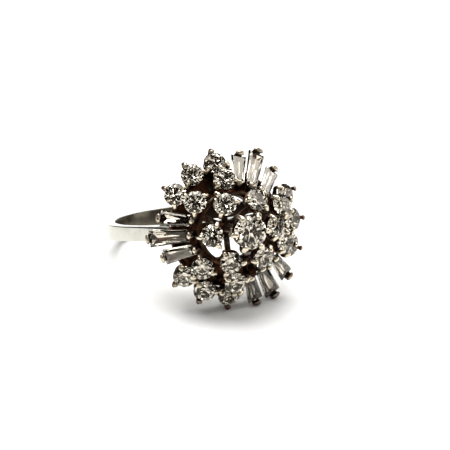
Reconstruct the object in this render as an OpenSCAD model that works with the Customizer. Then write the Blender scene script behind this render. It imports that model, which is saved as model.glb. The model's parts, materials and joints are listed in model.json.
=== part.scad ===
// Cluster ring: an openwork dome of 22 round stones and three fans of tapered baguettes on a
// plain finger band, lying on its side.

/* [Finger band] */
// Inner diameter of the band
bore_d = 17; // [15:0.1:19]
// Thickness of the band
band_t = 1.2; // [1.1:0.05:1.6]
// Width of the band at the back of the finger
band_w = 1.9; // [1.7:0.05:2.6]
// Width of the band and its shoulders under the head
band_w_top = 1.4; // [1.3:0.05:1.7]
// Angle above the middle of the finger where each shoulder leaves the band
shoulder_angle = 22; // [20:1:24]
// Thickness of each shoulder
shoulder_t = 1.1; // [0.9:0.05:1.1]

/* [Gallery] */
// Radius of the gallery's outer ring
gallery_r = 5.8; // [5.6:0.1:6.2]
// Radius of its inner ring, and of the upper ring
hub_r = 3.8; // [3.7:0.05:3.9]
// Height of both lower rings above the middle of the finger
gallery_h = 10.9; // [10.7:0.05:11]
// Height of the upper ring
upper_ring_h = 13.4; // [13:0.1:13.8]
// Thickness of the gallery's wire
wire_d = 0.8; // [0.6:0.05:0.8]
// Thickness of the stems
stem_d = 0.6; // [0.5:0.05:0.65]
// Thickness of the spokes from the post to the inner ring
spoke_d = 0.7; // [0.6:0.05:0.75]
// Thickness of the plate between the lower rings
plate_t = 0.4; // [0.3:0.05:0.5]
// Thickness of the braces from the baguettes to the upper ring
brace_d = 0.5; // [0.45:0.05:0.6]

/* [Round stones] */
// Diameter of the centre stone
centre_d = 3.5; // [3.2:0.05:3.6]
// Height of its girdle above the middle of the finger
centre_h = 18.6; // [18.4:0.1:19.2]
// Diameter of each small round stone
small_d = 2.4; // [2.1:0.05:2.4]
// Inner stones: distance from the head's axis
inner_r = 3.5; // [3.4:0.05:3.6]
// Inner stones: height of the girdle
inner_h = 16.8; // [16.6:0.1:16.9]
// Inner stones: tilt outwards
inner_tilt = 22; // [18:1:25]
// Middle stones: distance from the head's axis
middle_r = 5.5; // [5.4:0.05:5.6]
// Middle stones: height of the girdle
middle_h = 14.8; // [14.6:0.1:14.9]
// Middle stones: tilt outwards
middle_tilt = 26; // [22:1:28]
// Middle stones: angle from the middle of their sector
middle_spread = 21; // [20:0.5:22]
// Outer stones: distance from the head's axis
outer_r = 7.05; // [7.05:0.05:7.2]
// Outer stones: height of the girdle
outer_h = 12.5; // [12.4:0.1:12.6]
// Outer stones: tilt outwards
outer_tilt = 30; // [28:1:32]
// Outer stones: angle from one to the next
outer_spread = 22.5; // [22.5:0.5:24]

/* [Baguettes] */
// Length of the middle baguette of a fan
mid_baguette_l = 4.2; // [3.9:0.05:4.3]
// Its width at the outer end
mid_baguette_w = 1.9; // [1.6:0.05:1.95]
// Length of the baguette on each side
side_baguette_l = 3.3; // [3:0.05:3.4]
// Its width at the outer end
side_baguette_w = 1.7; // [1.5:0.05:1.75]
// Width of a baguette's inner end as a share of its outer end
baguette_taper = 0.7; // [0.6:0.05:0.8]
// Middle baguette: distance of its centre from the head's axis
mid_baguette_r = 6.65; // [6.55:0.05:6.7]
// Middle baguette: height of its girdle
mid_baguette_h = 12.25; // [12.2:0.05:12.4]
// Side baguettes: distance of the centre from the head's axis
side_baguette_r = 6.2; // [6.1:0.05:6.25]
// Side baguettes: height of the girdle
side_baguette_h = 12.9; // [12.8:0.05:13]
// Side baguettes: angle from the middle of the fan
side_baguette_spread = 16.5; // [16:0.5:17]
// Slope of every baguette down towards the rim
baguette_tilt = 31; // [28:1:32]
// How much further out the middle baguette of the lowest fan sits
low_fan_out = 0.3; // [0:0.05:0.5]
// How much further out its two side baguettes sit
low_fan_side_out = 0.55; // [0:0.05:0.6]

/* [Claws] */
// Thickness of a claw
claw_d = 0.46; // [0.4:0.02:0.48]
// Thickness of the bead at its tip
bead_d = 0.58; // [0.5:0.02:0.6]
// Clear space between a stone and the metal that holds it
stone_gap = 0.05; // [0.03:0.01:0.07]

/* [Rest] */
// Tilt of the finger's axis, with the head and the back of the band on the surface
rest_tilt = 19.25; // [15:0.01:22]
// Roll about the head's axis
rest_roll = 0.16; // [-4:0.01:4]
// Sideways place of the middle of the finger
rest_x = 0; // [-1:0.01:1]
// Place of the middle of the finger from the middle of the ring's length
rest_y = 4.752; // [4:0.001:6]
// Height of the middle of the finger above the surface
rest_z = 4.084; // [3:0.001:5]

/* [Hidden] */
$fn = 96;

bore_r = bore_d / 2;
band_r = bore_r + band_t;
// The shoulder starts this far under the band's surface, so the two meet cleanly
shoulder_sink = 0.03;
// Gap of the solder seam between the band and the head
seam_gap = 0.05;
// Top of the shoulders, where the gallery's outer ring sits
shoulder_top = gallery_h - wire_d / 2 - seam_gap;

// A place on the head: distance from its axis, angle round it, height, tilt outwards, own turn
RADIUS = 0;
ANGLE = 1;
HEIGHT = 2;
TILT = 3;
TURN = 4;
// The three sectors of rounds are centred on 0, 120 and 240 degrees, the fans of baguettes
// half way between them
SECTOR = 120;
FAN_START = 60;
// A round stone and its claws turn a little about their own axis, so that neighbouring claws
// aren't mirror images and their edges don't meet exactly
round_turn = 2.5;
CENTRE = [0, 0, centre_h, 0, 0];
INNER = [for (k = [0:5]) [inner_r, k * 60, inner_h, inner_tilt, round_turn]];
MIDDLE = [for (s = [0:2], side = [-1, 1])
    [middle_r, s * SECTOR + side * middle_spread, middle_h, middle_tilt, round_turn]];
OUTER = [for (s = [0:2], j = [-1:1])
    [outer_r, s * SECTOR + j * outer_spread, outer_h, outer_tilt, round_turn]];
// Side baguettes turn a little back towards the middle one, so the three lie nearly parallel
side_turn = -5;
// The lowest fan is the last of the three
FAN_OUT = [0, 0, low_fan_out];
FAN_SIDE_OUT = [0, 0, low_fan_side_out];
BAGUETTES = [for (s = [0:2], j = [-1:1]) j == 0
    ? [mid_baguette_r + FAN_OUT[s], FAN_START + s * SECTOR, mid_baguette_h, baguette_tilt, 0]
    : [side_baguette_r + FAN_SIDE_OUT[s], FAN_START + s * SECTOR + j * side_baguette_spread,
       side_baguette_h, baguette_tilt, j * side_turn]];

// Heights of a round brilliant as shares of its diameter
CROWN = 0.15;
GIRDLE = 0.03;
PAVILION = 0.43;
TABLE = 0.56;
// A claw's thickness as a share of its width
CLAW_FLATNESS = 0.75;
// Heights on a claw head from the girdle, as shares of the stone's diameter: the peg, the two
// edges of a claw where it leaves the peg, its bends, and the foot of its bead
PEG_TOP = -0.5;
PEG_BOTTOM = -0.68;
ROOT_TOP = -0.53;
ROOT_BOTTOM = -0.64;
INNER_BEND = -0.08;
OUTER_BEND = -0.14;
UPPER_BEND = 0.06;
BEAD_FOOT = 0.07;
// How far a claw's root and the peg's wall lie from where neighbouring claws would cross
root_gap = 0.07;
peg_wall = 0.17;
// How far the middle of a bead lies in over the edge of the stone
bead_reach = 0.02;
// Corners of a bead, as angles round its middle
BEAD_CORNERS = [55, 125, 180, 240];
// Collar of a claw head: its radius and height as shares of the stone's diameter, its thickness
COLLAR_R = 0.4;
COLLAR_Z = -0.36;
collar_d = 0.34;
// Post under the centre stone, and how much thicker than the others its claws are
post_d = 1.0;
centre_claw_extra = 0.1;
// How much thicker the upper ring's wire is than the stems that end in it
upper_ring_extra = 0.1;
// Turn of the gallery rings, so that no stem meets them at a corner, and of each wire
ring_turn = 3.5;
wire_turn = 13;
// The plate lies this far under the middle of the rings' wire, so no face of it meets its edges
plate_drop = 0.03;
// Angle of the first spoke, half way between two stems of the inner stones
SPOKE_START = 30;
// Cradle of a baguette: the strip's thickness, the depth of its underside, the height of its
// uprights, the width of its spine, and how far the stems reach into it
cradle_t = 0.34;
cradle_depth = 1.15;
upright_h = 0.25;
spine_w = 0.5;
stem_depth = 1;
// Lips over a baguette's ends: rounding, height, distance from the corners, widths as shares of
// the stone's width
lip_d = 0.42;
lip_h = 0.47;
lip_inset = 0.16;
OUTER_LIP = 0.5;
INNER_LIP = 0.35;
// Levels of a step-cut baguette, in mm from its girdle plane
baguette_table_z = 0.3;
baguette_step_z = 0.2;
baguette_girdle_z = 0.04;
baguette_pavilion_z = -0.36;
baguette_keel_z = -0.64;

// A point of the head under a place: this far back along the stone's own axis
function under(place, depth) = polar(
    place[RADIUS] - depth * sin(place[TILT]), place[ANGLE], place[HEIGHT] - depth * cos(place[TILT]));
function polar(r, angle, z) = [r * cos(angle), r * sin(angle), z];
function polygon_ring(n, r, z, start = 0) = [for (i = [0:n - 1]) polar(r, start + i * 360 / n, z)];

// The ring's frame: finger's axis along Z, head towards -Y; tilted until it rests on its side
module resting() {
    translate([rest_x, rest_y, rest_z])
        rotate([-rest_tilt, rest_roll, 0])
            children();
}

// The head's frame: its axis along Z, heights from the middle of the finger
module head() {
    resting() rotate([90, 0, 0]) children();
}

// The frame of one stone: its axis along Z, its girdle at z = 0, its outer side towards +X
module seat(place) {
    rotate([0, 0, place[ANGLE]])
        translate([place[RADIUS], 0, place[HEIGHT]])
            rotate([0, place[TILT], 0])
                rotate([0, 0, place[TURN]])
                    children();
}

module point_hull(points) {
    hull() polyhedron(points = points, faces = [[for (i = [0:len(points) - 1]) i]]);
}

// Round brilliant: table, 8 stars, 8 bezels, 16 upper halves, girdle, 16 lower halves, 8 mains
module round_brilliant(d) {
    r = d / 2;
    table_r = TABLE * r;
    girdle_z = GIRDLE * d / 2;
    crown_z = girdle_z + CROWN * d;
    culet_z = -girdle_z - PAVILION * d;
    // Star tips lie half way down the bezels, on the edge where two bezels meet
    star_in = (table_r + r) / 2;
    star_z = crown_z - (star_in - table_r) / (r - table_r) * CROWN * d;
    // Lower halves reach in to a quarter of the radius, on the edge where two mains meet
    lower_in = r / 4;
    lower_z = culet_z + lower_in / r * PAVILION * d;
    point_hull(concat(
        polygon_ring(8, table_r, crown_z),
        polygon_ring(8, star_in / cos(22.5), star_z, 22.5),
        polygon_ring(16, r, girdle_z),
        polygon_ring(16, r, -girdle_z),
        polygon_ring(8, lower_in / cos(22.5), lower_z, 22.5),
        [[0, 0, culet_z]]));
}

function half_width(x, l, w_out) = w_out / 2 * (baguette_taper + (1 - baguette_taper) * (x / l + 0.5));
function trapezoid(l, w_out, inset, z) = [for (end = [-1, 1], side = [-1, 1])
    let (x = end * (l / 2 - inset)) [x, side * (half_width(x, l, w_out) - inset), z]];

// Tapered baguette with a step-cut crown and pavilion, its wide end towards +X
module tapered_baguette(l, w_out) {
    keel_x = l / 2 - w_out * 0.45;
    point_hull(concat(
        trapezoid(l, w_out, 0.3, baguette_table_z),
        trapezoid(l, w_out, 0.13, baguette_step_z),
        trapezoid(l, w_out, 0, baguette_girdle_z),
        trapezoid(l, w_out, 0, -baguette_girdle_z),
        trapezoid(l, w_out, 0.26, baguette_pavilion_z),
        [[-keel_x, 0, baguette_keel_z], [keel_x, 0, baguette_keel_z]]));
}

// Straight wire between two points
module wire(from, to, d) {
    run = to - from;
    translate(from)
        rotate([0, acos(run.z / norm(run)), atan2(run.y, run.x)])
            rotate(wire_turn)
                cylinder(d = d, h = norm(run), $fn = 6);
}

module wire_ring(r, z, d) {
    translate([0, 0, z]) rotate(ring_turn)
        rotate_extrude($fn = 24) translate([r, 0]) rotate(30) circle(d = d, $fn = 6);
}

// One claw of a round stone: a bent strip, out from the peg, up past the girdle and in over the
// crown, with a rounded bead at its end
module claw(stone_d, root_r, d, bead) {
    inner_x = stone_d / 2 + stone_gap;
    outer_x = inner_x + CLAW_FLATNESS * d;
    bead_middle = [stone_d / 2 - bead_reach, bead / 2 + BEAD_FOOT * stone_d];
    rotate([90, 0, 0]) linear_extrude(d, center = true) polygon(concat(
        [[root_r, ROOT_BOTTOM * stone_d], [outer_x, OUTER_BEND * stone_d],
         [outer_x, UPPER_BEND * stone_d]],
        [for (a = BEAD_CORNERS) bead_middle + bead / 2 * [cos(a), sin(a)]],
        [[inner_x, UPPER_BEND * stone_d], [inner_x, INNER_BEND * stone_d],
         [root_r, ROOT_TOP * stone_d]]));
}

// Peg, claws and collar of a round stone, in the stone's frame
module claw_head(stone_d, claws, d, bead) {
    root_r = d / 2 / tan(180 / claws) + root_gap;
    translate([0, 0, PEG_BOTTOM * stone_d]) rotate(90 / claws)
        cylinder(r = root_r + peg_wall, h = (PEG_TOP - PEG_BOTTOM) * stone_d, $fn = 2 * claws);
    for (k = [0:claws - 1])
        rotate([0, 0, k * 360 / claws]) claw(stone_d, root_r, d, bead);
    translate([0, 0, COLLAR_Z * stone_d])
        rotate_extrude($fn = 9) translate([COLLAR_R * stone_d, 0]) circle(d = collar_d, $fn = 4);
}

// One end of a baguette's cradle: an upright and a lip over the crown, towards +X
module baguette_claw(l, w) {
    upright_x = l / 2 + stone_gap;
    translate([upright_x, -w / 2, -cradle_depth]) cube([cradle_t, w, cradle_depth + upright_h]);
    hull() {
        translate([upright_x, -w / 2, lip_h - lip_d / 2 - stone_gap])
            cube([cradle_t, w, stone_gap]);
        for (side = [-1, 1])
            translate([l / 2, side * (w / 2 - lip_inset), lip_h]) sphere(d = lip_d, $fn = 6);
    }
}

// Cradle of a baguette: a spine along its underside with a claw at each end
module cradle(l, w_out) {
    spine_l = l + 2 * stone_gap + cradle_t;
    translate([-spine_l / 2, -spine_w / 2, -cradle_depth]) cube([spine_l, spine_w, cradle_t]);
    baguette_claw(l, OUTER_LIP * w_out);
    mirror([1, 0, 0]) baguette_claw(l, INNER_LIP * w_out);
}

function baguette_length(i) = i % 3 == 1 ? mid_baguette_l : side_baguette_l;
function baguette_width(i) = i % 3 == 1 ? mid_baguette_w : side_baguette_w;

// Plain finger band with two shoulders that leave it as tangents and rise to the head
module shank() {
    reach = 3 * band_r;
    color("gainsboro") resting() difference() {
        intersection() {
            union() {
                cylinder(r = band_r, h = band_w, center = true);
                for (side = [0, 1]) mirror([side, 0, 0])
                    translate([0, 0, -band_w / 2]) linear_extrude(band_w) shoulder_outline();
            }
            rotate([90, 0, 90]) linear_extrude(reach, center = true) polygon([
                [-shoulder_top, -band_w_top / 2], [band_r + 1, -band_w / 2],
                [band_r + 1, band_w / 2], [-shoulder_top, band_w_top / 2]]);
        }
        cylinder(r = bore_r, h = reach, center = true);
    }
}

module shoulder_outline() {
    a = shoulder_angle;
    start_r = band_r - shoulder_sink;
    outer_run = (shoulder_top - start_r * sin(a)) / cos(a);
    under_r = start_r - shoulder_t;
    under_run = (shoulder_top - under_r * sin(a)) / cos(a);
    polygon([
        [start_r * cos(a), -start_r * sin(a)],
        [start_r * cos(a) - outer_run * sin(a), -shoulder_top],
        [under_r * cos(a) - under_run * sin(a), -shoulder_top],
        [under_r * cos(a), -under_r * sin(a)]]);
}

// The soldered head: gallery rings, plate and spokes, stems, claw heads and baguette cradles
module setting() {
    color("silver") head() {
        gallery();
        seat(CENTRE)
            claw_head(centre_d, 6, claw_d + centre_claw_extra, bead_d + centre_claw_extra);
        for (place = INNER) stemmed_head(place, hub_r);
        for (place = MIDDLE) stemmed_head(place, gallery_r);
        for (place = OUTER) stemmed_head(place, gallery_r);
        for (i = [0:8]) baguette_mount(i);
    }
}

module gallery() {
    wire_ring(gallery_r, gallery_h, wire_d);
    wire_ring(hub_r, gallery_h, wire_d);
    wire_ring(hub_r, upper_ring_h, stem_d + upper_ring_extra);
    // Post under the centre stone, standing on the top of the band
    post_foot = band_r + seam_gap;
    post_top = centre_h + (PEG_BOTTOM + PEG_TOP) / 2 * centre_d;
    translate([0, 0, post_foot]) cylinder(d = post_d, h = post_top - post_foot, $fn = 12);
    for (k = [0:5])
        wire(polar(0, SPOKE_START + k * 60, gallery_h), polar(hub_r, SPOKE_START + k * 60, gallery_h),
            spoke_d);
    plate();
}

// Plate between the two lower rings
module plate() {
    translate([0, 0, gallery_h - plate_drop]) rotate(ring_turn) rotate_extrude($fn = 24)
        translate([hub_r, -plate_t / 2]) square([gallery_r - hub_r, plate_t]);
}

module stemmed_head(place, foot_r) {
    seat(place) claw_head(small_d, 3, claw_d, bead_d);
    head_foot = -(PEG_BOTTOM + PEG_TOP) / 2 * small_d;
    wire(under(place, head_foot), polar(foot_r, place[ANGLE], gallery_h), stem_d);
}

module baguette_mount(i) {
    place = BAGUETTES[i];
    l = baguette_length(i);
    inner_end = under([place[RADIUS] - l / 2 * cos(place[TILT]), place[ANGLE],
        place[HEIGHT] + l / 2 * sin(place[TILT]), place[TILT]], stem_depth);
    seat(place) cradle(l, baguette_width(i));
    wire(inner_end, polar(hub_r, place[ANGLE], upper_ring_h), brace_d);
    wire(under(place, stem_depth), polar(gallery_r, place[ANGLE], gallery_h), stem_d);
}

module round_stone(place, d) {
    color("lightcyan") head() seat(place) round_brilliant(d);
}

module baguette_stone(i) {
    color("azure") head() seat(BAGUETTES[i])
        tapered_baguette(baguette_length(i), baguette_width(i));
}

module centre_stone() {
    round_stone(CENTRE, centre_d);
}

shank();
setting();
centre_stone();
for (i = [0:5])
    round_stone(INNER[i], small_d);
for (i = [0:5])
    round_stone(MIDDLE[i], small_d);
for (i = [0:8])
    round_stone(OUTER[i], small_d);
for (i = [0:8])
    baguette_stone(i);
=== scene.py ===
# %% [markdown]
# # A cluster ring, lying on its side
#
# The real object is a cocktail ring: a dome of 22 round brilliants and three fans of tapered
# baguettes, each stone held on a stem of its own over an openwork gallery, and the gallery
# soldered to a plain flat band. The construction comes in as a fixed frame, which already gives
# the stones and the band their shape and place. So this lesson dresses them: it rounds what the
# frame leaves square, and gives every surface the finish of worn jewellery. Drawing the stones
# anew would gain nothing, because a cut stone is a solid of flat facets, and these are there.

# %% Load the frame
import json
from math import cos, pi, radians, sin, tan

import bmesh
import bpy
from mathutils import Matrix, Vector


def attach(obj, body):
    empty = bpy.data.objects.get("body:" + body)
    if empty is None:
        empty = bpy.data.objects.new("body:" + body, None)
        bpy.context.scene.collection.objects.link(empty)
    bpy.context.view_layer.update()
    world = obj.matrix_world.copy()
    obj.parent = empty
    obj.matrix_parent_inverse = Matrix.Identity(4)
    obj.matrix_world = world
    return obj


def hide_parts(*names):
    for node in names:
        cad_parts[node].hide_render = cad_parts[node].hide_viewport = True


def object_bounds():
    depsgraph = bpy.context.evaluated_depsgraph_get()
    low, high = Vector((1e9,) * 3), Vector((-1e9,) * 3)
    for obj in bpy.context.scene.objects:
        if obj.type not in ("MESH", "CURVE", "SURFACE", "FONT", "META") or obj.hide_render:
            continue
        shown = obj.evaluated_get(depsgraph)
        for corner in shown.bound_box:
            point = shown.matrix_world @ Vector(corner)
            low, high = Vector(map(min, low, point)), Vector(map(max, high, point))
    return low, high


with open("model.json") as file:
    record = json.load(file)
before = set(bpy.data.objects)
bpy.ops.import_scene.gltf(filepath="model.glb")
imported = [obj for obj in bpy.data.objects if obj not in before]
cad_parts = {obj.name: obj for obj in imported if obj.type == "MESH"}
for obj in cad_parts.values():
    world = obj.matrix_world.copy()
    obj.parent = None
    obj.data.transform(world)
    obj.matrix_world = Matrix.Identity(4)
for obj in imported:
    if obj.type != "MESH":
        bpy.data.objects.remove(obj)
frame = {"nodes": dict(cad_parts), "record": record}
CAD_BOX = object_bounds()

MM = 0.001
NODES = frame["nodes"]
print(len(NODES), "nodes, box in mm", [[round(c / MM, 2) for c in corner] for corner in CAD_BOX])

# %% [markdown]
# ## Where the head is
#
# Every claw follows its stone, so each stone needs a small frame of its own: the middle of its
# girdle, its axis, and the way that points outwards. These could be typed in again from the
# drawings. Here they are measured on the stones instead, because then they can't disagree. On
# every cut stone the table is the largest flat face, so its normal is the stone's axis. The
# centre stone's axis is the head's as well, once it is made square to the finger.

# %% Frame of the head
FINGER = next(m for m in frame["record"]["mounts"] if m["name"] == "finger_hole")
finger_centre = Vector(FINGER["pos_m"])
finger_axis = Vector(FINGER["axis"]).normalized()


def table_of(node):
    """The normal and the corners of a stone's largest flat face."""
    flats = {}
    for face in node.data.polygons:
        key = tuple(round(c, 2) for c in face.normal)
        flats.setdefault(key, []).append(face)
    faces = max(flats.values(), key=lambda group: sum(face.area for face in group))
    points = [node.data.vertices[i].co for face in faces for i in face.vertices]
    corners = {tuple(round(c, 7) for c in point) for point in points}
    return faces[0].normal.copy(), [Vector(c) for c in corners]


def middle_of(points):
    return sum(points, Vector()) / len(points)


def frame_matrix(origin, outwards, axis):
    """A frame at origin whose Z is axis and whose X is as near outwards as it can be."""
    x = (outwards - outwards.dot(axis) * axis).normalized()
    return Matrix.Translation(origin) @ Matrix([x, axis.cross(x), axis]).transposed().to_4x4()


centre_normal = table_of(NODES["centre_stone"])[0]
head_axis = (centre_normal - centre_normal.dot(finger_axis) * finger_axis).normalized()
HEAD = frame_matrix(finger_centre, finger_axis.cross(head_axis), head_axis)
HEAD_INVERSE = HEAD.inverted()
print("head axis", [round(c, 3) for c in head_axis])

# %% [markdown]
# ## Where each stone is
#
# A round stone is measured across its girdle. A baguette is longer than wide and tapers, so its
# frame points along it, and its wide end is measured too. The girdle itself lies a known way
# under the table: a share of the diameter on a brilliant, and a fixed height on a baguette.

# %% Frames of the stones
# Height of a brilliant's table over the middle of its girdle, as a share of its diameter
BRILLIANT_TABLE_H = 0.165
# The same on a step-cut baguette, in mm
BAGUETTE_TABLE_H = 0.3
# A corner belongs to a baguette's end from this share of its length on, counted from the middle
AT_END = 0.45


def round_frame(name):
    """Frame of a round stone at its girdle, and its diameter in mm."""
    normal, corners = table_of(NODES[name])
    middle = middle_of(corners)
    spread = [v.co - middle for v in NODES[name].data.vertices]
    diameter = 2 * max((s - s.dot(normal) * normal).length for s in spread)
    girdle = middle - BRILLIANT_TABLE_H * diameter * normal
    away = girdle - finger_centre
    outwards = away - away.dot(head_axis) * head_axis
    if outwards.length < MM:
        outwards = finger_axis.cross(head_axis)
    return frame_matrix(girdle, outwards, normal), diameter / MM


def baguette_frame(name):
    """Frame of a baguette at its girdle, wide end towards X, with its length and that width in mm."""
    normal, corners = table_of(NODES[name])
    middle = middle_of(corners)
    away = middle - finger_centre
    outwards = away - away.dot(head_axis) * head_axis
    rank = sorted(corners, key=lambda c: c.dot(outwards))
    run = (middle_of(rank[2:]) - middle_of(rank[:2])).normalized()
    girdle = middle - BAGUETTE_TABLE_H * MM * normal
    side = normal.cross(run)
    points = [v.co - girdle for v in NODES[name].data.vertices]
    length = 2 * max(p.dot(run) for p in points)
    width = 2 * max(p.dot(side) for p in points if p.dot(run) > AT_END * length)
    return frame_matrix(girdle, run, normal), length / MM, width / MM


ROUNDS = [n for n in sorted(NODES) if "stone" in n and n != "centre_stone"]
BAGUETTES = [n for n in sorted(NODES) if n.startswith("baguette")]
small_d = round_frame(ROUNDS[0])[1]
print("small stones", round(small_d, 2), "mm")
print("baguettes", {n: [round(s, 2) for s in baguette_frame(n)[1:]] for n in BAGUETTES[:2]})

# %% [markdown]
# ## Working the way a bench jeweller does
#
# All small metal here is modelled in millimetres about the origin, and then set in its place at
# a thousandth of the size. Blender's merge distances and its remesher are made for things of a
# metre or so, and a claw of half a thousandth of a metre is too small for both. The helpers
# select, add, place and join, as the mouse and a few keys would by hand.

# %% Helpers for objects
def only(obj):
    """Select this object alone and make it active."""
    bpy.ops.object.select_all(action="DESELECT")
    obj.select_set(True)
    bpy.context.view_layer.objects.active = obj


def added(name):
    """The object that an operator just added, with a name of its own."""
    obj = bpy.context.active_object
    obj.name = obj.data.name = name
    return obj


def set_in_place(obj, matrix):
    """Move a part modelled in mm about the origin to its frame, with its place in its mesh."""
    obj.matrix_world = matrix @ Matrix.Scale(MM, 4)
    only(obj)
    bpy.ops.object.transform_apply(location=True, rotation=True, scale=True)
    return obj


def copy_of(obj, name):
    """A copy with a mesh of its own."""
    twin = obj.copy()
    twin.data = obj.data.copy()
    twin.name = twin.data.name = name
    bpy.context.scene.collection.objects.link(twin)
    return twin


def joined(parts, name):
    bpy.ops.object.select_all(action="DESELECT")
    for part in parts:
        part.select_set(True)
    bpy.context.view_layer.objects.active = parts[0]
    bpy.ops.object.transform_apply(location=True, rotation=True, scale=True)
    bpy.ops.object.join()
    return added(name)


def finished(obj, kind, **settings):
    """Add a modifier with its settings and apply it."""
    only(obj)
    modifier = obj.modifiers.new(kind.title(), kind)
    for setting, value in settings.items():
        setattr(modifier, setting, value)
    bpy.ops.object.modifier_apply(modifier=modifier.name)
    return obj


def triangles(obj):
    return sum(len(face.vertices) - 2 for face in obj.data.polygons)


print("object helpers ready")

# %% [markdown]
# ## A wire that bends
#
# Claws, pegs and cradles are all wire. A curve with a round bevel would be the quick way, but its
# thickness is then hard to change along the way. Here a disc is drawn instead, and extruded,
# moved, turned and scaled from one section to the next, just as E, G, R and S do by hand.

# %% Round bar
def round_bar(name, sections, sides=12):
    """A round bar through sections of (x, z, lean from Z towards X in degrees, radius), in mm."""
    x, z, lean, radius = sections[0]
    bpy.ops.mesh.primitive_circle_add(
        vertices=sides, radius=radius, fill_type="NGON", location=(x, 0, z),
        rotation=(0, radians(lean), 0))
    bar = added(name)
    only(bar)
    bpy.ops.object.transform_apply(location=True, rotation=True, scale=True)
    bpy.ops.object.mode_set(mode="EDIT")
    bpy.ops.mesh.select_all(action="SELECT")
    for new_x, new_z, new_lean, new_radius in sections[1:]:
        bpy.ops.mesh.extrude_region_move(TRANSFORM_OT_translate={"value": (new_x - x, 0, new_z - z)})
        here = (new_x, 0, new_z)
        # With no window this operator turns the other way, so the angle changes sign
        bpy.ops.transform.rotate(value=radians(lean - new_lean), orient_axis="Y", center_override=here)
        bpy.ops.transform.resize(value=(new_radius / radius,) * 3, center_override=here)
        x, z, lean, radius = new_x, new_z, new_lean, new_radius
    bpy.ops.mesh.select_all(action="SELECT")
    bpy.ops.mesh.normals_make_consistent(inside=False)
    bpy.ops.object.mode_set(mode="OBJECT")
    return bar


print("round bar ready")

# %% [markdown]
# ## Colours and shader nodes
#
# Colours are picked the way an artist reads them, as hex codes, but the renderer works with
# linear light, so one function converts them all. Materials are built from nodes by a second
# small function: it adds a node, sets its fields, and sets or links its inputs. A noise scale
# counts patches in a metre, so 1000 gives patches of one millimetre.

# %% Colour and node helpers
def colour(code):
    """Linear colour, with alpha, of an sRGB hex code."""
    parts = [int(code[i:i + 2], 16) / 255 for i in (1, 3, 5)]
    return [c / 12.92 if c <= 0.04045 else ((c + 0.055) / 1.055) ** 2.4 for c in parts] + [1]


def add_node(tree, kind, inputs=None, **fields):
    """Add a node. An input is given a value, or another node's output to link to it."""
    made = tree.nodes.new("ShaderNode" + kind)
    for field, value in fields.items():
        setattr(made, field, value)
    for socket, value in (inputs or {}).items():
        if isinstance(value, bpy.types.NodeSocket):
            tree.links.new(value, made.inputs[socket])
        else:
            made.inputs[socket].default_value = value
    return made


def new_material(name):
    """An empty material, with its tree, its shader and the object coordinates that patterns use."""
    material = bpy.data.materials.new(name)
    material.use_nodes = True
    tree = material.node_tree
    shader = tree.nodes["Principled BSDF"]
    place = add_node(tree, "TexCoord").outputs["Object"]
    return material, tree, shader, place


# Sockets of a Mix node that mixes colours, and of a Map Range node
FACTOR, MIX_A, MIX_B, MIX_RESULT = 0, 6, 7, 2
VALUE, FROM_MIN, FROM_MAX, TO_MIN, TO_MAX = 0, 1, 2, 3, 4
print("mid grey #808080 is", round(colour("#808080")[0], 3), "in linear light")

# %% [markdown]
# ## Polished white gold
#
# White gold is polished and plated with rhodium, which gives a pale, near-white mirror. Outside
# the band it is kept bright by wear, and shows only hairline scratches and a soft haze of
# handling, in patches of about 2.4 mm. The real hairlines are finer than a pixel, so they are
# drawn about 0.1 mm apart and 1 mm long, which is as fine as still shows.

# %% Polished white gold
def polished_white_gold():
    """Rhodium-plated white gold, worn bright: a pale mirror, a little soft, with faint hairlines."""
    material, tree, shader, place = new_material("polished_white_gold")
    haze = add_node(tree, "TexNoise", {
        "Vector": place, "Scale": 420, "Detail": 8, "Roughness": 0.7})
    hairs = add_node(tree, "Mapping", {
        "Vector": place, "Rotation": (0.3, 0.2, 0.5), "Scale": (9000, 900, 2600)})
    scratches = add_node(tree, "TexNoise", {"Vector": hairs.outputs[0], "Scale": 1, "Detail": 3})
    tint = add_node(tree, "Mix", {
        FACTOR: haze.outputs[0], MIX_A: colour("#D6D5CD"), MIX_B: colour("#AAA89E")}, data_type="RGBA")
    rough = add_node(tree, "MapRange", {
        VALUE: haze.outputs[0], FROM_MIN: 0.3, FROM_MAX: 0.7, TO_MIN: 0.1, TO_MAX: 0.22})
    bump = add_node(tree, "Bump", {
        "Height": scratches.outputs[0], "Strength": 0.06, "Distance": 0.00002})
    shader.inputs["Metallic"].default_value = 1
    tree.links.new(tint.outputs[MIX_RESULT], shader.inputs["Base Color"])
    tree.links.new(rough.outputs[0], shader.inputs["Roughness"])
    tree.links.new(bump.outputs[0], shader.inputs["Normal"])
    return material


POLISHED = polished_white_gold()
print("finish:", POLISHED.name)
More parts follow.
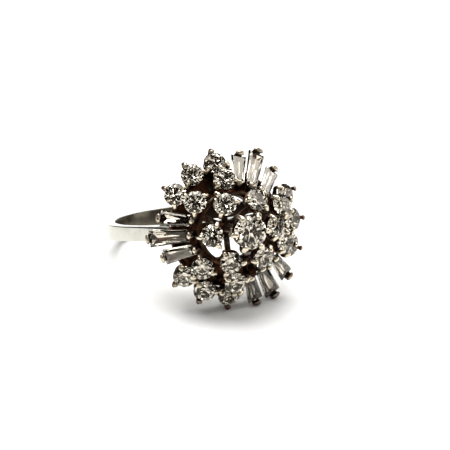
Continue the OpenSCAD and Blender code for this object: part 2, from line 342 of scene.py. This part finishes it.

# %% [markdown]
# ## Tarnished white gold, with painted shade
#
# Between the stones nobody can polish the metal, so it has gone brown there. Shade is painted
# into the same finish, down to nearly black. Both follow two things: how deep a point lies under
# its stone, which each mesh carries as an attribute, and how closed in it is, which ambient
# occlusion measures. Noise in patches of about 1 mm breaks its edge up. Painting it by hand would
# work too, but a rule treats all the claws alike and needs no picture.

# %% Tarnished white gold
def tarnished_gold_with_painted_shade():
    """White gold that can't be polished: bright on the beads, tarnished brown with painted shade below.
    """
    material, tree, shader, place = new_material("tarnished_gold_with_painted_shade")
    height = add_node(tree, "Attribute", attribute_name="height")
    # Painted shade with the tarnish: the deeper under its stone, the darker the metal
    deep = add_node(tree, "MapRange", {
        VALUE: height.outputs["Fac"], FROM_MIN: 0.55, FROM_MAX: -0.35, TO_MIN: 0, TO_MAX: 0.8})
    # Painted shade: ambient occlusion darkens the metal where it is closed in
    open_air = add_node(tree, "AmbientOcclusion", {"Distance": 0.0012}, samples=8)
    closed = add_node(tree, "MapRange", {
        VALUE: open_air.outputs["AO"], FROM_MIN: 0.95, FROM_MAX: 0.4, TO_MIN: -0.45, TO_MAX: 0.35})
    patches = add_node(tree, "TexNoise", {
        "Vector": place, "Scale": 900, "Detail": 6, "Roughness": 0.65})
    both = add_node(tree, "Math", {0: deep.outputs[0], 1: closed.outputs[0]}, operation="ADD")
    blotchy = add_node(tree, "Math", {
        0: patches.outputs[0], 1: 1.0, 2: both.outputs[0]}, operation="MULTIPLY_ADD")
    tarnish_and_shade = add_node(tree, "MapRange", {
        VALUE: blotchy.outputs[0], FROM_MIN: 0.4, FROM_MAX: 0.85, TO_MIN: 0, TO_MAX: 1})
    thin = add_node(tree, "MapRange", {
        VALUE: patches.outputs[0], FROM_MIN: 0.42, FROM_MAX: 0.72, TO_MIN: 0, TO_MAX: 1})
    # Brown tarnish and near-black painted shade, mixed in patches
    stain_and_shade = add_node(tree, "Mix", {
        FACTOR: thin.outputs[0], MIX_A: colour("#100904"), MIX_B: colour("#825A43")}, data_type="RGBA")
    tint = add_node(tree, "Mix", {
        FACTOR: tarnish_and_shade.outputs[0], MIX_A: colour("#D5CBB7"), MIX_B: stain_and_shade.outputs[MIX_RESULT]},
        data_type="RGBA")
    rough = add_node(tree, "MapRange", {
        VALUE: tarnish_and_shade.outputs[0], FROM_MIN: 0, FROM_MAX: 1, TO_MIN: 0.17, TO_MAX: 0.4})
    bump = add_node(tree, "Bump", {
        "Height": patches.outputs[0], "Strength": 0.25, "Distance": 0.00003})
    shader.inputs["Metallic"].default_value = 1
    tree.links.new(tint.outputs[MIX_RESULT], shader.inputs["Base Color"])
    tree.links.new(rough.outputs[0], shader.inputs["Roughness"])
    tree.links.new(bump.outputs[0], shader.inputs["Normal"])
    return material


TARNISH_AND_SHADE = tarnished_gold_with_painted_shade()
print("finish:", TARNISH_AND_SHADE.name)

# %% [markdown]
# ## Dull white gold, with painted shade
#
# The inside of a band is seldom plated well, and skin dulls it, in streaks about 1 mm wide that
# run along the finger. Towards one side it is painted a dark brown, as the shade that the head
# casts on it. That shade could be a second material, but its edge is soft, so the band carries an
# attribute that mixes it in.

# %% Dull white gold
def dull_gold_with_painted_shade():
    """White gold dulled by skin: a soft grey sheen, painted a dark brown where the head shades it."""
    material, tree, shader, place = new_material("dull_gold_with_painted_shade")
    streaks = add_node(tree, "Mapping", {"Vector": place, "Scale": (900, 900, 160)})
    film = add_node(tree, "TexNoise", {"Vector": streaks.outputs[0], "Scale": 1, "Detail": 5})
    clean = add_node(tree, "Mix", {
        FACTOR: film.outputs[0], MIX_A: colour("#4E4A40"), MIX_B: colour("#807A6D")}, data_type="RGBA")
    # Painted shade of the head, which the band carries as an attribute
    head_shade = add_node(tree, "Attribute", attribute_name="head_shade").outputs["Fac"]
    tint = add_node(tree, "Mix", {
        FACTOR: head_shade, MIX_A: clean.outputs[MIX_RESULT], MIX_B: colour("#2A211B")}, data_type="RGBA")
    rough = add_node(tree, "MapRange", {
        VALUE: film.outputs[0], FROM_MIN: 0.3, FROM_MAX: 0.7, TO_MIN: 0.25, TO_MAX: 0.4})
    shader.inputs["Metallic"].default_value = 1
    tree.links.new(tint.outputs[MIX_RESULT], shader.inputs["Base Color"])
    tree.links.new(rough.outputs[0], shader.inputs["Roughness"])
    return material


DULL_AND_SHADE = dull_gold_with_painted_shade()
print("finish:", DULL_AND_SHADE.name)

# %% [markdown]
# ## The band
#
# The band was rolled flat, bent round a mandrel and filed, so its faces are flat but none of its
# edges is sharp: years of wear round them by a tenth of a millimetre. It could be bent up again
# from a strip, but the frame's band has the right faces already, with square edges. Its mesh is
# loose triangles, though, which share no edge that a bevel could round. So a copy is merged, and
# flat neighbours are dissolved into whole faces, which keeps the bevel's corners clean.

# %% Band in whole faces
# Corners this near, in mm, are merged into one, and faces within this angle are made one face
MERGE_MM, ONE_FACE = 0.002, radians(0.5)


def merged_copy_in_mm(node_name, name):
    """A copy of a frame node's mesh, with its loose triangles merged into whole faces, in mm."""
    obj = bpy.data.objects.new(name, NODES[node_name].data.copy())
    bpy.context.scene.collection.objects.link(obj)
    only(obj)
    bpy.ops.mesh.customdata_custom_splitnormals_clear()
    bpy.ops.object.mode_set(mode="EDIT")
    bpy.ops.mesh.select_all(action="SELECT")
    bpy.ops.transform.resize(value=(1 / MM,) * 3, center_override=(0, 0, 0))
    bpy.ops.mesh.remove_doubles(threshold=MERGE_MM)
    bpy.ops.mesh.dissolve_limited(angle_limit=ONE_FACE)
    bpy.ops.mesh.normals_make_consistent(inside=False)
    bpy.ops.object.mode_set(mode="OBJECT")
    return obj


def painted(obj, material):
    obj.data.materials.clear()
    obj.data.materials.append(material)
    return obj


band = painted(merged_copy_in_mm("shank", "band"), POLISHED)
print("band: merged into", len(band.data.polygons), "faces")

# %% [markdown]
# Each face gets its finish by where it lies: dull inside, tarnished under the head and polished
# everywhere else. The tarnish is told that the band is deep, so under the head it is painted in
# full shade, and a painted shade of the head grows over the inside towards one side. Then the
# edges are bevelled, and the bevel's new faces take the finish beside them.

# %% Finishes and worn edges of the band
# Places of the two added finishes in the band's list of materials
DULL_AND_SHADE_SLOT, TARNISH_AND_SHADE_SLOT = 1, 2
# A face of the bore lies this near the finger's axis, and faces it at least this squarely
BORE_FACE_R, FACES_FINGER = 8.6 * MM, -0.9
# Under the head the way outwards is this close to the head's axis, and the inside isn't counted
UNDER_HEAD, NOT_INSIDE = cos(radians(33)), -0.5
# The height in mm that the band counts as having, which is deep under any stone, so that the band under
# the head gets the full painted shade
DEEP = -1.0
# Painted shade of the head on the inside grows from the middle to this far right of it
HEAD_SHADE_END = 3.5 * MM
# How far the wear of an edge reaches into each of its faces, in mm
EDGE_WEAR = 0.09

band.data.materials.append(DULL_AND_SHADE)
band.data.materials.append(TARNISH_AND_SHADE)
for face in band.data.polygons:
    spoke = face.center * MM - finger_centre
    across = spoke - spoke.dot(finger_axis) * finger_axis
    outward = face.normal.dot(across.normalized())
    if across.length < BORE_FACE_R and outward < FACES_FINGER:
        face.material_index = DULL_AND_SHADE_SLOT
    # Under the head the band is tarnished and painted in shade
    elif across.normalized().dot(head_axis) > UNDER_HEAD and outward > NOT_INSIDE:
        face.material_index = TARNISH_AND_SHADE_SLOT
height = band.data.attributes.new("height", "FLOAT", "POINT")
height.data.foreach_set("value", [DEEP] * len(band.data.vertices))
# Painted shade: the inside darkens towards the side that the head shades
head_shade = band.data.attributes.new("head_shade", "FLOAT", "POINT")
sideways = [(HEAD_INVERSE @ (v.co * MM)).x / HEAD_SHADE_END for v in band.data.vertices]
head_shade.data.foreach_set("value", [min(1, max(0, x)) for x in sideways])
finished(band, "BEVEL", width=EDGE_WEAR, segments=3, limit_method="ANGLE", angle_limit=radians(30))
bpy.ops.object.shade_smooth_by_angle(angle=radians(40))
set_in_place(band, Matrix.Identity(4))
print("band: bevelled,", triangles(band), "triangles")

# %% [markdown]
# ## Solder
#
# Solder runs into every inner corner of small metal. Crossing bars could be joined by a boolean,
# but its corners stay sharp. So the parts are melted into one skin by a voxel remesh, smoothed a
# little, and thinned out again to a number of triangles that the piece deserves.

# %% Melt crossing parts together
def soldered(obj, voxel, target):
    """Melt crossing parts into one smooth skin of about this many triangles."""
    finished(obj, "REMESH", mode="VOXEL", voxel_size=voxel, use_smooth_shade=True)
    finished(obj, "SMOOTH", factor=0.5, iterations=4)
    finished(obj, "DECIMATE", ratio=min(1, target / triangles(obj)))
    bpy.ops.object.shade_smooth()
    return obj


print("solder ready")

# %% [markdown]
# ## Marks for the tarnish and the painted shade
#
# The tarnished finish asks each point how high it lies over its stone's girdle. Two marks are
# added to that. At the rim of the head the outermost claws are painted dark to their tips, as
# painted shade and dark reflection, and the back is wiped each time the ring is put on. The shader
# could work both out at every point, with more nodes. Once per vertex is enough, and the sum can
# be read here in one place.

# %% Height and painted rim shade of small metal
# Distances from the head's axis where the painted dark of the rim starts and is full, and its depth in
# mm
RIM_START, RIM_END, RIM_DEPTH = 7.5 * MM, 8.1 * MM, 0.75
# The share of a normal that faces the finger, where a face starts and ends to count as the back
BACK_START, BACK_END = 0.2, 0.7
# The height in mm that wiped metal counts as having, where there is next to no tarnish
CLEAN_HEIGHT = 0.5
# Nothing may lie lower than the frame does
LOWEST = CAD_BOX[0][2]


def keep_height(obj, zero=0.0):
    """Store how far each vertex lies above the zero height, in mm, where the finish reads it to paint
    its brown and its shade.
    """
    height = obj.data.attributes.new("height", "FLOAT", "POINT")
    height.data.foreach_set("value", [v.co.z - zero for v in obj.data.vertices])
    return obj


def share(value, start, end):
    """How far value has come from start to end, from 0 to 1."""
    return min(1, max(0, (value - start) / (end - start)))


def rim_shaded(obj):
    """Paint the outermost claws dark, as shade and dark reflection, and keep the brown and its painted
    shade off what faces the finger.
    """
    # What the ring lies on is pressed flat there, by less than 0.02 mm
    for vertex in obj.data.vertices:
        if vertex.co.z < LOWEST:
            vertex.co.z = LOWEST
    heights = [0.0] * len(obj.data.vertices)
    obj.data.attributes["height"].data.foreach_get("value", heights)
    for vertex in obj.data.vertices:
        out = (HEAD_INVERSE @ vertex.co).to_2d().length
        # Painted shade and dark reflection on the claws furthest out
        low = heights[vertex.index] - RIM_DEPTH * share(out, RIM_START, RIM_END)
        wiped = share(-vertex.normal.dot(head_axis), BACK_START, BACK_END)
        heights[vertex.index] = low + wiped * (CLEAN_HEIGHT - low)
    obj.data.attributes["height"].data.foreach_set("value", heights)
    return obj


print("marks ready")

# %% [markdown]
# ## Claw heads of the round stones
#
# A round stone sits in a basket: three or six wires run out from one peg, are held by a collar,
# stand up past the girdle and are pressed over the crown, where the tip is burnished to a bead.
# One claw is extruded along its bends, given its bead, and spun round the stone's axis. Bending
# each claw by itself would take longer and make them differ.

# %% Claw head
# Distance between a claw and the girdle, in mm, so that neither cuts into the other
STONE_GAP = 0.04
# The collar's radius and height as shares of the stone's diameter, and its wire's radius in mm
COLLAR_R, COLLAR_Z, COLLAR_WIRE_R = 0.4, -0.36, 0.15
# Distance in mm that the roots of the claws keep beyond where they would touch
ROOT_GAP = 0.07


def claw_head(name, stone_d, claws, wire_r, bead_r, root_r):
    """A basket for a stone of this diameter. Places along Z are shares of the diameter."""
    upright_x = stone_d / 2 + STONE_GAP + wire_r
    bar = round_bar("claw", [
        (root_r - 0.1, -0.625 * stone_d, 47, wire_r * 0.9),
        (0.75 * upright_x, -0.25 * stone_d, 46, wire_r),
        (0.93 * upright_x, -0.155 * stone_d, 32, wire_r),
        (upright_x, -0.06 * stone_d, 8, wire_r),
        (upright_x, 0.05 * stone_d, -8, wire_r),
        (upright_x - 0.08, 0.13 * stone_d, -30, wire_r * 1.1)])
    bpy.ops.mesh.primitive_uv_sphere_add(
        segments=20, ring_count=12, radius=bead_r,
        location=(stone_d / 2 - 0.01, 0, 0.8 * bead_r + 0.09 * stone_d),
        rotation=(0, radians(42), 0), scale=(1.2, 1.05, 0.8))
    claw = joined([bar, added("bead")], "claw")
    bpy.ops.object.mode_set(mode="EDIT")
    bpy.ops.mesh.select_all(action="SELECT")
    bpy.ops.mesh.spin(
        steps=claws - 1, dupli=True, angle=2 * pi * (claws - 1) / claws,
        center=(0, 0, 0), axis=(0, 0, 1))
    bpy.ops.object.mode_set(mode="OBJECT")
    peg = round_bar("peg", [
        (0, -0.7 * stone_d, 0, root_r + 0.06), (0, -0.62 * stone_d, 0, root_r + 0.16),
        (0, -0.53 * stone_d, 0, root_r + 0.16), (0, -0.48 * stone_d, 0, root_r)], sides=20)
    bpy.ops.mesh.primitive_torus_add(
        major_radius=COLLAR_R * stone_d, minor_radius=COLLAR_WIRE_R,
        major_segments=36, minor_segments=10, location=(0, 0, COLLAR_Z * stone_d))
    return joined([claw, peg, added("collar")], name)


def root_radius(claw_w, claws):
    """Where claws of this width would start clear of each other, round the peg."""
    return claw_w / 2 / tan(pi / claws) + ROOT_GAP


print("claw head ready")

# %% [markdown]
# The head is modelled once for the 21 small stones and once for the centre. Each small stone
# then gets a copy with a mesh of its own, so that the marks on one claw don't show on all.

# %% Heads under all the round stones
# Size of the voxels that small metal is melted in, in mm
VOXEL = 0.045
# Radii of the claw's wire and of its bead, and the claw's width at its root, in mm
SMALL_WIRE_R, SMALL_BEAD_R, SMALL_ROOT_W = 0.205, 0.27, 0.46
CENTRE_WIRE_R, CENTRE_BEAD_R, CENTRE_ROOT_W = 0.24, 0.31, 0.56
SMALL_TRIANGLES, CENTRE_TRIANGLES = 3600, 9000

small_head = claw_head(
    "small_head", small_d, 3, SMALL_WIRE_R, SMALL_BEAD_R, root_radius(SMALL_ROOT_W, 3))
soldered(small_head, VOXEL, SMALL_TRIANGLES)
keep_height(painted(small_head, TARNISH_AND_SHADE))
print("small head:", triangles(small_head), "triangles")
print("small head's size in mm", [round(c, 2) for c in small_head.dimensions])

centre_frame, centre_d = round_frame("centre_stone")
centre_head = claw_head(
    "centre_head", centre_d, 6, CENTRE_WIRE_R, CENTRE_BEAD_R, root_radius(CENTRE_ROOT_W, 6))
soldered(centre_head, VOXEL, CENTRE_TRIANGLES)
keep_height(painted(centre_head, TARNISH_AND_SHADE))
rim_shaded(set_in_place(centre_head, centre_frame))
print("centre head:", triangles(centre_head), "triangles")

heads = []
for name in ROUNDS:
    head = set_in_place(copy_of(small_head, name.replace("stone", "head")), round_frame(name)[0])
    heads.append(rim_shaded(head))
bpy.data.objects.remove(small_head)
print(len(heads), "small heads placed")

# %% [markdown]
# ## Cradles of the baguettes
#
# A baguette is held only at its two ends, because its long sides stand close to its neighbours.
# The cradle is one strip bent into a shallow U, with its ends hammered wide and turned over the
# crown. So it is extruded as a single bar through its bends, spread sideways where the hammer
# would spread it, and given a broad bead on each end.

# %% Cradle
# Height of the strip under the stone, radii of the bar and of its beads, and the beads' height
CRADLE_Z, BAR_R, LIP_R, LIP_Z = -0.98, 0.165, 0.27, 0.48
# Widths of the bar's ends, as shares of the stone's wide end, and how much wider its floor gets
OUTER_W, INNER_W, FLOOR_SPREAD = 0.5, 0.35, 1.5
# The bar's ends are spread as far in as this, in mm
END_RUN = 0.3
# Half widths of the two beads, as shares of the stone's wide end
OUTER_BEAD, INNER_BEAD = 0.3, 0.22
CRADLE_TRIANGLES = 3000


def widen(obj, low, high, factor):
    """Stretch sideways the part of a bar between two places along its length."""
    only(obj)
    bpy.ops.object.mode_set(mode="EDIT")
    bpy.ops.mesh.select_all(action="DESELECT")
    mesh = bmesh.from_edit_mesh(obj.data)
    for vertex in mesh.verts:
        vertex.select_set(low < vertex.co.x < high)
    mesh.select_flush(True)
    bmesh.update_edit_mesh(obj.data)
    bpy.ops.transform.resize(value=(1, factor, 1), center_override=(0, 0, 0))
    bpy.ops.object.mode_set(mode="OBJECT")


def cradle(name, length, width):
    """A strip under a stone of this length and wide end, turned up and over both its ends."""
    up = length / 2 + STONE_GAP + BAR_R
    bar = round_bar(name, [
        (up - 0.16, 0.42, 110, BAR_R), (up, 0.24, 170, BAR_R), (up, -0.7, 180, BAR_R),
        (up - 0.12, -0.92, 225, BAR_R), (up - 0.4, CRADLE_Z, 270, BAR_R),
        (0.4 - up, CRADLE_Z, 270, BAR_R), (0.12 - up, -0.92, 315, BAR_R),
        (-up, -0.7, 360, BAR_R), (-up, 0.24, 370, BAR_R), (0.16 - up, 0.42, 430, BAR_R)])
    widen(bar, up - END_RUN, up + 1, OUTER_W * width / BAR_R / 2)
    widen(bar, -up - 1, END_RUN - up, INNER_W * width / BAR_R / 2)
    widen(bar, END_RUN - up, up - END_RUN, FLOOR_SPREAD)
    beads = []
    for end, half_width in ((1, OUTER_BEAD * width), (-1, INNER_BEAD * width)):
        bpy.ops.mesh.primitive_uv_sphere_add(
            segments=24, ring_count=14, radius=LIP_R, location=(end * (length / 2 + 0.1), 0, LIP_Z))
        bpy.ops.transform.resize(value=(1, half_width / LIP_R, 0.95), center_override=(0, 0, LIP_Z))
        bpy.ops.object.transform_apply(location=True, rotation=True, scale=True)
        beads.append(added("bead"))
    return soldered(joined([bar] + beads, name), VOXEL, CRADLE_TRIANGLES)


print("cradle ready")

# %% [markdown]
# The middle baguette of each fan is longer than the two beside it, so there are two models. Each
# stone gets a copy of the one for its length.

# %% Cradles under all the baguettes
cradles, models = [], {}
for name in BAGUETTES:
    matrix, length, width = baguette_frame(name)
    key = round(length, 1)
    if key not in models:
        models[key] = keep_height(painted(cradle("cradle_model", length, width), TARNISH_AND_SHADE))
        print("cradle of", key, "mm:", triangles(models[key]), "triangles")
    cradles.append(rim_shaded(set_in_place(copy_of(models[key], name.replace("baguette", "cradle")), matrix)))
for model in models.values():
    bpy.data.objects.remove(model)
print(len(cradles), "cradles placed")

# %% [markdown]
# ## The gallery
#
# Under the stones a jeweller builds a small wheel: two rings with a thin plate between them, six
# spokes round a post, and a third ring higher up. Each head and cradle stands on it by a stem.
# All but the plate is round wire, soldered where it meets. It could be one long modelling job
# in edit mode, but a wire is only a line with a thickness, so each is laid straight between two
# points that the frame gives.

# %% Helpers for the gallery
# Radii of the two rings, and heights over the band's middle: of these rings, of the third ring
# and of the foot of the post, all in mm
GALLERY_R, HUB_R, GALLERY_H, UPPER_RING_H, POST_FOOT_H = 5.8, 3.8, 10.9, 13.4, 9.76
# Radii of the wires, and the plate's thickness
WIRE_R, UPPER_WIRE_R, STEM_R, SPOKE_R, BRACE_R, POST_R = 0.4, 0.34, 0.29, 0.34, 0.25, 0.48
PLATE_T = 0.4


def straight_wire(start, end, radius):
    run = end - start
    bpy.ops.mesh.primitive_cylinder_add(
        vertices=16, radius=radius, depth=run.length, location=(start + end) / 2,
        rotation=run.to_track_quat("Z", "Y").to_euler())
    return added("wire")


def wire_ring(radius, height, wire_r):
    bpy.ops.mesh.primitive_torus_add(
        major_radius=radius, minor_radius=wire_r, major_segments=96, minor_segments=16,
        location=(0, 0, height))
    return added("wire")


def plate():
    """The plate between the two lower rings."""
    bpy.ops.mesh.primitive_circle_add(vertices=72, radius=HUB_R, location=(0, 0, GALLERY_H))
    ring = added("plate")
    bpy.ops.object.mode_set(mode="EDIT")
    bpy.ops.mesh.select_all(action="SELECT")
    bpy.ops.mesh.extrude_region_move()
    outwards = GALLERY_R / HUB_R
    bpy.ops.transform.resize(value=(outwards, outwards, 1), center_override=(0, 0, GALLERY_H))
    bpy.ops.object.mode_set(mode="OBJECT")
    return finished(ring, "SOLIDIFY", thickness=PLATE_T, offset=0)


def on_gallery(point, radius, height):
    """The point of a gallery ring that faces this one, in the head's frame."""
    return Vector((point.x, point.y, 0)).normalized() * radius + Vector((0, 0, height))


def in_head(matrix, *local):
    """A point of a stone's frame, in mm, in the head's frame, in mm."""
    return HEAD_INVERSE @ (matrix @ (Vector(local) * MM)) / MM


print("gallery helpers ready")

# %% [markdown]
# The wires are laid ring by ring, then the post and its spokes, then the stems. The centre stone
# stands on the post, the inner ones on the inner ring and all others on the outer ring. Each
# cradle also has a thin brace from its inner end to the third ring, which keeps it from tipping.
# At the end all of it is melted into one skin, like the heads.

# %% Gallery
# Depth under the girdle where a stem starts: at a round stone's peg, and at a cradle's floor
STEM_DEPTH, CRADLE_STEM_DEPTH = 1.42, 1.0
# The post ends inside the centre head's peg, this share of the diameter under the girdle
POST_TOP = 0.6
# Depth on the gallery counts from this height over the band's middle, just above its third ring.
# What reaches higher, such as the post with its 16.5 mm, counts as cleaner, with less painted shade
GALLERY_DEPTH_ZERO_H = 14.0
GALLERY_VOXEL, GALLERY_TRIANGLES = 0.07, 40000

wires = [wire_ring(GALLERY_R, GALLERY_H, WIRE_R), wire_ring(HUB_R, GALLERY_H, WIRE_R),
         wire_ring(HUB_R, UPPER_RING_H, UPPER_WIRE_R), plate()]
post_top = in_head(centre_frame, 0, 0, -POST_TOP * centre_d)
wires.append(straight_wire(Vector((0, 0, POST_FOOT_H)), post_top, POST_R))
hub = Vector((0, 0, GALLERY_H))
for k in range(6):
    angle = pi / 6 + k * pi / 3
    wires.append(straight_wire(hub, Vector((cos(angle), sin(angle), 0)) * HUB_R + hub, SPOKE_R))
for name in ROUNDS:
    start = in_head(round_frame(name)[0], 0, 0, -STEM_DEPTH)
    foot_r = HUB_R if name.startswith("inner") else GALLERY_R
    wires.append(straight_wire(start, on_gallery(start, foot_r, GALLERY_H), STEM_R))
for name in BAGUETTES:
    matrix, length, _ = baguette_frame(name)
    middle = in_head(matrix, 0, 0, -CRADLE_STEM_DEPTH)
    inner_end = in_head(matrix, -length / 2, 0, -CRADLE_STEM_DEPTH)
    wires.append(straight_wire(middle, on_gallery(middle, GALLERY_R, GALLERY_H), STEM_R))
    wires.append(straight_wire(inner_end, on_gallery(middle, HUB_R, UPPER_RING_H), BRACE_R))
gallery = soldered(joined(wires, "gallery"), GALLERY_VOXEL, GALLERY_TRIANGLES)
keep_height(gallery, GALLERY_DEPTH_ZERO_H)
rim_shaded(set_in_place(painted(gallery, TARNISH_AND_SHADE), HEAD))
print("gallery:", triangles(gallery), "triangles")

# %% [markdown]
# ## The stones
#
# The stones keep the frame's facets. Diamond bends light far more than glass, with an index of
# 2.417. Among small lamps in a dark room that gives the hard black-and-white of its facets.
# Worn stones aren't clean: skin grease and dust form a thin film, in patches of about 0.5 mm,
# which blurs them a little and turns their light a warm grey. The film also dulls what the
# facets mirror. The flat steps of the baguettes are easier to wipe than the brilliants between
# their claws, so the two cuts get one recipe with two strengths.

# %% Diamond
def worn_diamond(name, thin_film, thick_film, mirror, clear):
    """Diamond under a film of grease: clear and sparkling, a little warm and blurred in patches."""
    material, tree, shader, place = new_material(name)
    film = add_node(tree, "TexNoise", {"Vector": place, "Scale": 1800, "Detail": 5})
    rough = add_node(tree, "MapRange", {
        VALUE: film.outputs[0], FROM_MIN: 0.4, FROM_MAX: 0.8, TO_MIN: 0.0, TO_MAX: 0.06})
    tint = add_node(tree, "Mix", {
        FACTOR: film.outputs[0], MIX_A: colour(thin_film), MIX_B: colour(thick_film)}, data_type="RGBA")
    shader.inputs["Transmission Weight"].default_value = clear
    shader.inputs["IOR"].default_value = 2.417
    shader.inputs["Specular Tint"].default_value = colour(mirror)
    tree.links.new(rough.outputs[0], shader.inputs["Roughness"])
    tree.links.new(tint.outputs[MIX_RESULT], shader.inputs["Base Color"])
    return material


BRILLIANT = worn_diamond("greasy_brilliant_cut_diamond", "#E8E2D6", "#B6AB98", "#8A867E", 0.98)
STEP_CUT = worn_diamond("worn_step_cut_diamond", "#FFF8EC", "#D4C4AC", "#C8C3BA", 0.99)
for names, finish in ((ROUNDS + ["centre_stone"], BRILLIANT), (BAGUETTES, STEP_CUT)):
    for name in names:
        for material_slot in NODES[name].material_slots:
            material_slot.material = finish
print("stones:", len(ROUNDS) + len(BAGUETTES) + 1)

# %% [markdown]
# ## The paper
#
# The ring lies on a sheet of white paper, so bright in the photograph that no edge of it shows.
# An infinite white world would do the same, but it couldn't hold the soft shadow under the head.
# Its fibres are about 1 mm apart, coarser than real ones, and only just tell.

# %% White paper
# The paper lies this far under the ring, so that no two faces share a plane, in metres
PAPER_GAP = 0.00001

# Matt and nearly pure white: an even, bright ground without gloss
bpy.ops.mesh.primitive_plane_add(size=2, location=(0, 0, -PAPER_GAP))
floor = added("paper")
paper, tree, shader, place = new_material("white_paper")
fibres = add_node(tree, "TexNoise", {"Vector": place, "Scale": 900, "Detail": 5})
tint = add_node(tree, "Mix", {
    FACTOR: fibres.outputs[0], MIX_A: colour("#FFFFFF"), MIX_B: colour("#F8F8F6")}, data_type="RGBA")
tree.links.new(tint.outputs[MIX_RESULT], shader.inputs["Base Color"])
shader.inputs["Roughness"].default_value = 0.9
shader.inputs["Specular IOR Level"].default_value = 0.2
painted(floor, paper)
print("paper laid")

# %% [markdown]
# ## The room
#
# Metal and cut stones show the room more than themselves, so the room matters. It is pale above
# and behind, and dark on the side where the photographer stands. That dark side is what the
# inside of the band and the dark facets show. A picture of a real room would do it too, but two
# tones and a soft step between them are enough, and they stay easy to tune.

# %% Room
ROOM_STRENGTH = 0.1
# The way from the ring back to the camera, by its turn round the ring and its rise over the table
CAMERA_TURN, CAMERA_RISE = radians(20.35), radians(24.44)
back = Vector((
    -sin(CAMERA_TURN) * cos(CAMERA_RISE), -cos(CAMERA_TURN) * cos(CAMERA_RISE), sin(CAMERA_RISE)))
world = bpy.data.worlds.new("studio_room")
bpy.context.scene.world = world
world.use_nodes = True
tree = world.node_tree
way = add_node(tree, "TexCoord").outputs["Generated"]
towards = add_node(tree, "VectorMath", {0: way, 1: (back.x, back.y, 0.1)}, operation="DOT_PRODUCT")
dark_side = add_node(tree, "MapRange", {
    VALUE: towards.outputs["Value"], FROM_MIN: 0.1, FROM_MAX: 0.75, TO_MIN: 1, TO_MAX: 0})
room = add_node(tree, "Mix", {
    FACTOR: dark_side.outputs[0], MIX_A: colour("#17120E"), MIX_B: colour("#A8A6A0")}, data_type="RGBA")
tree.links.new(room.outputs[MIX_RESULT], tree.nodes["Background"].inputs["Color"])
tree.nodes["Background"].inputs["Strength"].default_value = ROOM_STRENGTH
print("room ready")

# %% [markdown]
# ## The light
#
# A broad soft light comes from above and a little behind. Each large flat facet mirrors one small
# place in the room: a lamp is put there where the facet is bright, and nothing where it is dark.
# One large dome of light would be simpler, but it would turn all the stones the same grey. A look
# with more contrast then gives the deep blacks and the burnt-out white of the photograph.

# %% Lamps
def softbox(name, place, size, power, height=None):
    """A lamp that faces the band's middle, square unless its height is given, in metres and watts."""
    lamp = bpy.data.lights.new(name, "AREA")
    lamp.shape = "RECTANGLE"
    lamp.size, lamp.size_y, lamp.energy = size, height or size, power
    obj = bpy.data.objects.new(name, lamp)
    obj.location = place
    obj.rotation_euler = (Vector(place) - HEAD.to_translation()).to_track_quat("Z", "Y").to_euler()
    bpy.context.scene.collection.objects.link(obj)


softbox("overhead_softbox", (0.005, 0.113, 0.46), 0.49, 3.5)
# Two windows that the tables of the upper baguettes mirror, and one at the left
softbox("right_window", (0.222, -0.066, 0.285), 0.05, 0.12, height=0.2)
softbox("right_window_low", (0.325, -0.054, 0.185), 0.045, 0.07, height=0.12)
softbox("left_window", (-0.27, -0.04, 0.14), 0.06, 0.05)
# Small lamps on the camera's side, which put glints on the beads
softbox("strip_over_camera", (-0.06, -0.25, 0.22), 0.03, 0.04)
softbox("low_right_glint", (0.16, -0.26, 0.06), 0.03, 0.02)
softbox("low_left_glint", (-0.2, -0.24, 0.07), 0.03, 0.015)
# Pale walls, in or near the ways that other tables mirror
softbox("wall_upper_left", (-0.25, -0.28, 0.25), 0.12, 0.055)
softbox("wall_upper_right", (0.04, -0.33, 0.26), 0.12, 0.07)
softbox("wall_lower_right", (0.08, -0.38, 0.09), 0.12, 0.04)
softbox("wall_lower_left", (-0.3, -0.25, 0.08), 0.1, 0.015)
softbox("wall_right", (0.305, -0.1, 0.08), 0.17, 0.12, height=0.09)
softbox("wall_right_high", (0.21, -0.15, 0.21), 0.06, 0.04)
bpy.context.scene.view_settings.view_transform = "Standard"
bpy.context.scene.view_settings.look = "Medium High Contrast"
print("lamps:", len(bpy.data.lights))

# %% [markdown]
# ## Camera
#
# The camera was found by matching some forty points of the photograph: about 24 degrees above
# the table, a long lens, and a turn of about 20 degrees to the side. It could be dragged about
# until the picture fits, but here it is placed at its distance from a point inside the head, so
# that each of its numbers means one thing.

# %% Camera at the photograph's angle
# Focal length of the lens and distance of the camera, in mm, and how far it is tipped sideways
LENS, DISTANCE, CAMERA_ROLL = 160.9, 207.39, radians(0.34)
# What the camera looks at: this high over the band's middle, and this far left and up in the view
AIM_H, AIM_LEFT, AIM_UP = 15 * MM, 1.38 * MM, 0.52 * MM

right = Vector((cos(CAMERA_TURN), -sin(CAMERA_TURN), 0))
up = back.cross(right)
camera_x = cos(CAMERA_ROLL) * right + sin(CAMERA_ROLL) * up
camera_y = -sin(CAMERA_ROLL) * right + cos(CAMERA_ROLL) * up
look = finger_centre + AIM_H * head_axis - AIM_LEFT * camera_x + AIM_UP * camera_y
camera_data = bpy.data.cameras.new("photo_camera")
camera_data.lens = LENS
camera_data.clip_start = 0.01
camera = bpy.data.objects.new("photo_camera", camera_data)
camera.matrix_world = Matrix.Translation(look + DISTANCE * MM * back) @ Matrix(
    [camera_x, camera_y, back]).transposed().to_4x4()
bpy.context.scene.collection.objects.link(camera)
bpy.context.scene.camera = camera
print("camera at", [round(c, 4) for c in camera.location])

# %% [markdown]
# ## The pieces on the ring's body
#
# The frame's setting and band are hidden, as the new pieces stand in for them, and each piece
# rides on the ring's one body. The frame's box, which it must not outgrow.

# %% Hide the frame's parts, ride and count triangles
SETTING = heads + cradles + [centre_head, gallery]
for piece in SETTING:
    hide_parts("setting")
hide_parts("shank")
for piece in SETTING + [band]:
    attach(piece, "root")
print("added triangles:", sum(triangles(piece) for piece in SETTING + [band]))
